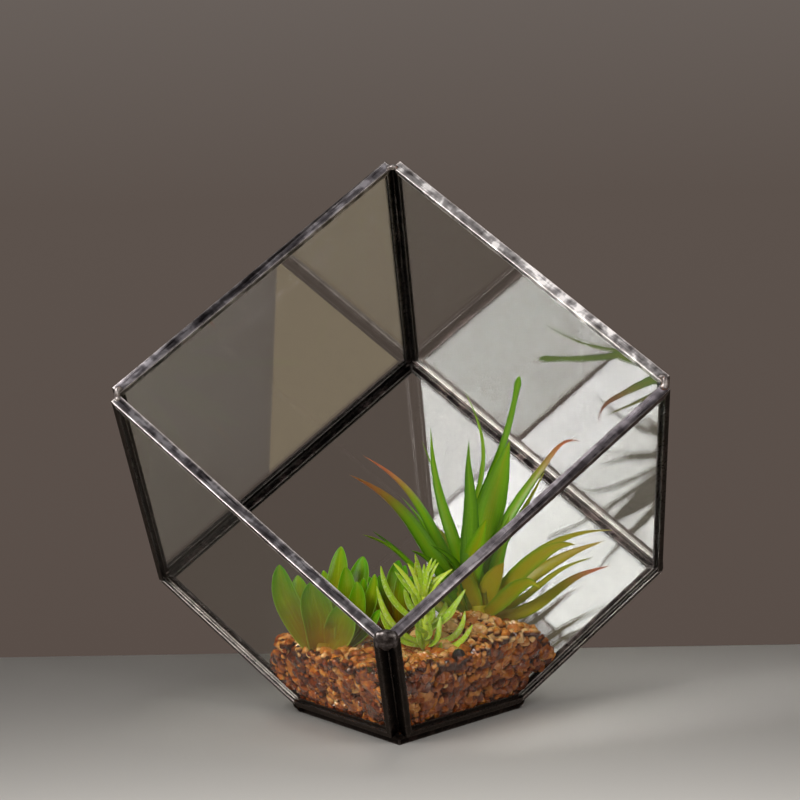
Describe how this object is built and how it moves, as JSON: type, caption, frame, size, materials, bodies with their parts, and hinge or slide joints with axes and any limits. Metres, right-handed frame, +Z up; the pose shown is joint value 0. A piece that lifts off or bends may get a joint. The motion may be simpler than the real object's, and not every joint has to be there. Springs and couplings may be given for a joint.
{
  "type": "glass plant terrarium",
  "caption": "Open-fronted geometric glass terrarium in dark metal came, standing on a cut-off corner, planted with small succulents in coarse quartz grit.",
  "frame": {"origin": "on the surface it stands on, under the middle of its outside box", "axes": "+Z up along the cube's upright diagonal, -Y out through the open face, toward the viewer, +X to the viewer's right"},
  "size_m": [0.219, 0.2514, 0.2319],
  "materials": {
    "glass": "clear and polished, with green cut edges",
    "came": "black patina on a drawn metal channel, rubbed bright along its edges",
    "solder": "soft solder, bright where it flowed and dark with patina elsewhere",
    "grit": "glossy translucent quartz grit, honey to rust brown",
    "long_leaf": "soft satin, green with red-brown tips",
    "paddle_leaf": "glossy, saturated green, yellower at the foot",
    "needle": "soft, yellow-green with a pale bloom"
  },
  "bodies": {
    "root": {"glass_back_left": "glass", "glass_back_right": "glass", "glass_front_left": "glass", "glass_front_right": "glass", "glass_rear": "glass", "glass_base": "glass", "came_back_left_apex_back": "came", "came_back_left_back_low_left": "came", "came_back_left_left_apex": "came", "came_back_left_low_left_left": "came", "came_back_right_apex_right": "came", "came_back_right_back_apex": "came", "came_back_right_low_right_back": "came", "came_back_right_right_low_right": "came", "came_front_left_foot_left_foot_front": "came", "came_front_left_front_left": "came", "came_front_left_left_low_left": "came", "came_front_left_low_left_foot_left": "came", "came_front_left_foot_front_front": "came", "came_front_right_foot_front_foot_right": "came", "came_front_right_foot_right_low_right": "came", "came_front_right_front_foot_front": "came", "came_front_right_low_right_right": "came", "came_front_right_right_front": "came", "came_rear_back_low_right": "came", "came_rear_foot_left_low_left": "came", "came_rear_foot_right_foot_left": "came", "came_rear_low_left_back": "came", "came_rear_low_right_foot_right": "came", "came_base_foot_front_foot_left": "came", "came_base_foot_left_foot_right": "came", "came_base_foot_right_foot_front": "came", "solder_apex": "solder", "solder_left": "solder", "solder_right": "solder", "solder_back": "solder", "solder_front": "solder", "solder_low_left": "solder", "solder_low_right": "solder", "solder_foot_front": "solder", "solder_foot_left": "solder", "solder_foot_right": "solder", "grit_bed": "grit", "long_leaf_succulent": "long_leaf", "paddle_succulent_left": "paddle_leaf", "paddle_succulent_middle": "paddle_leaf", "sedum_spray": "needle"}
  },
  "joints": []
}
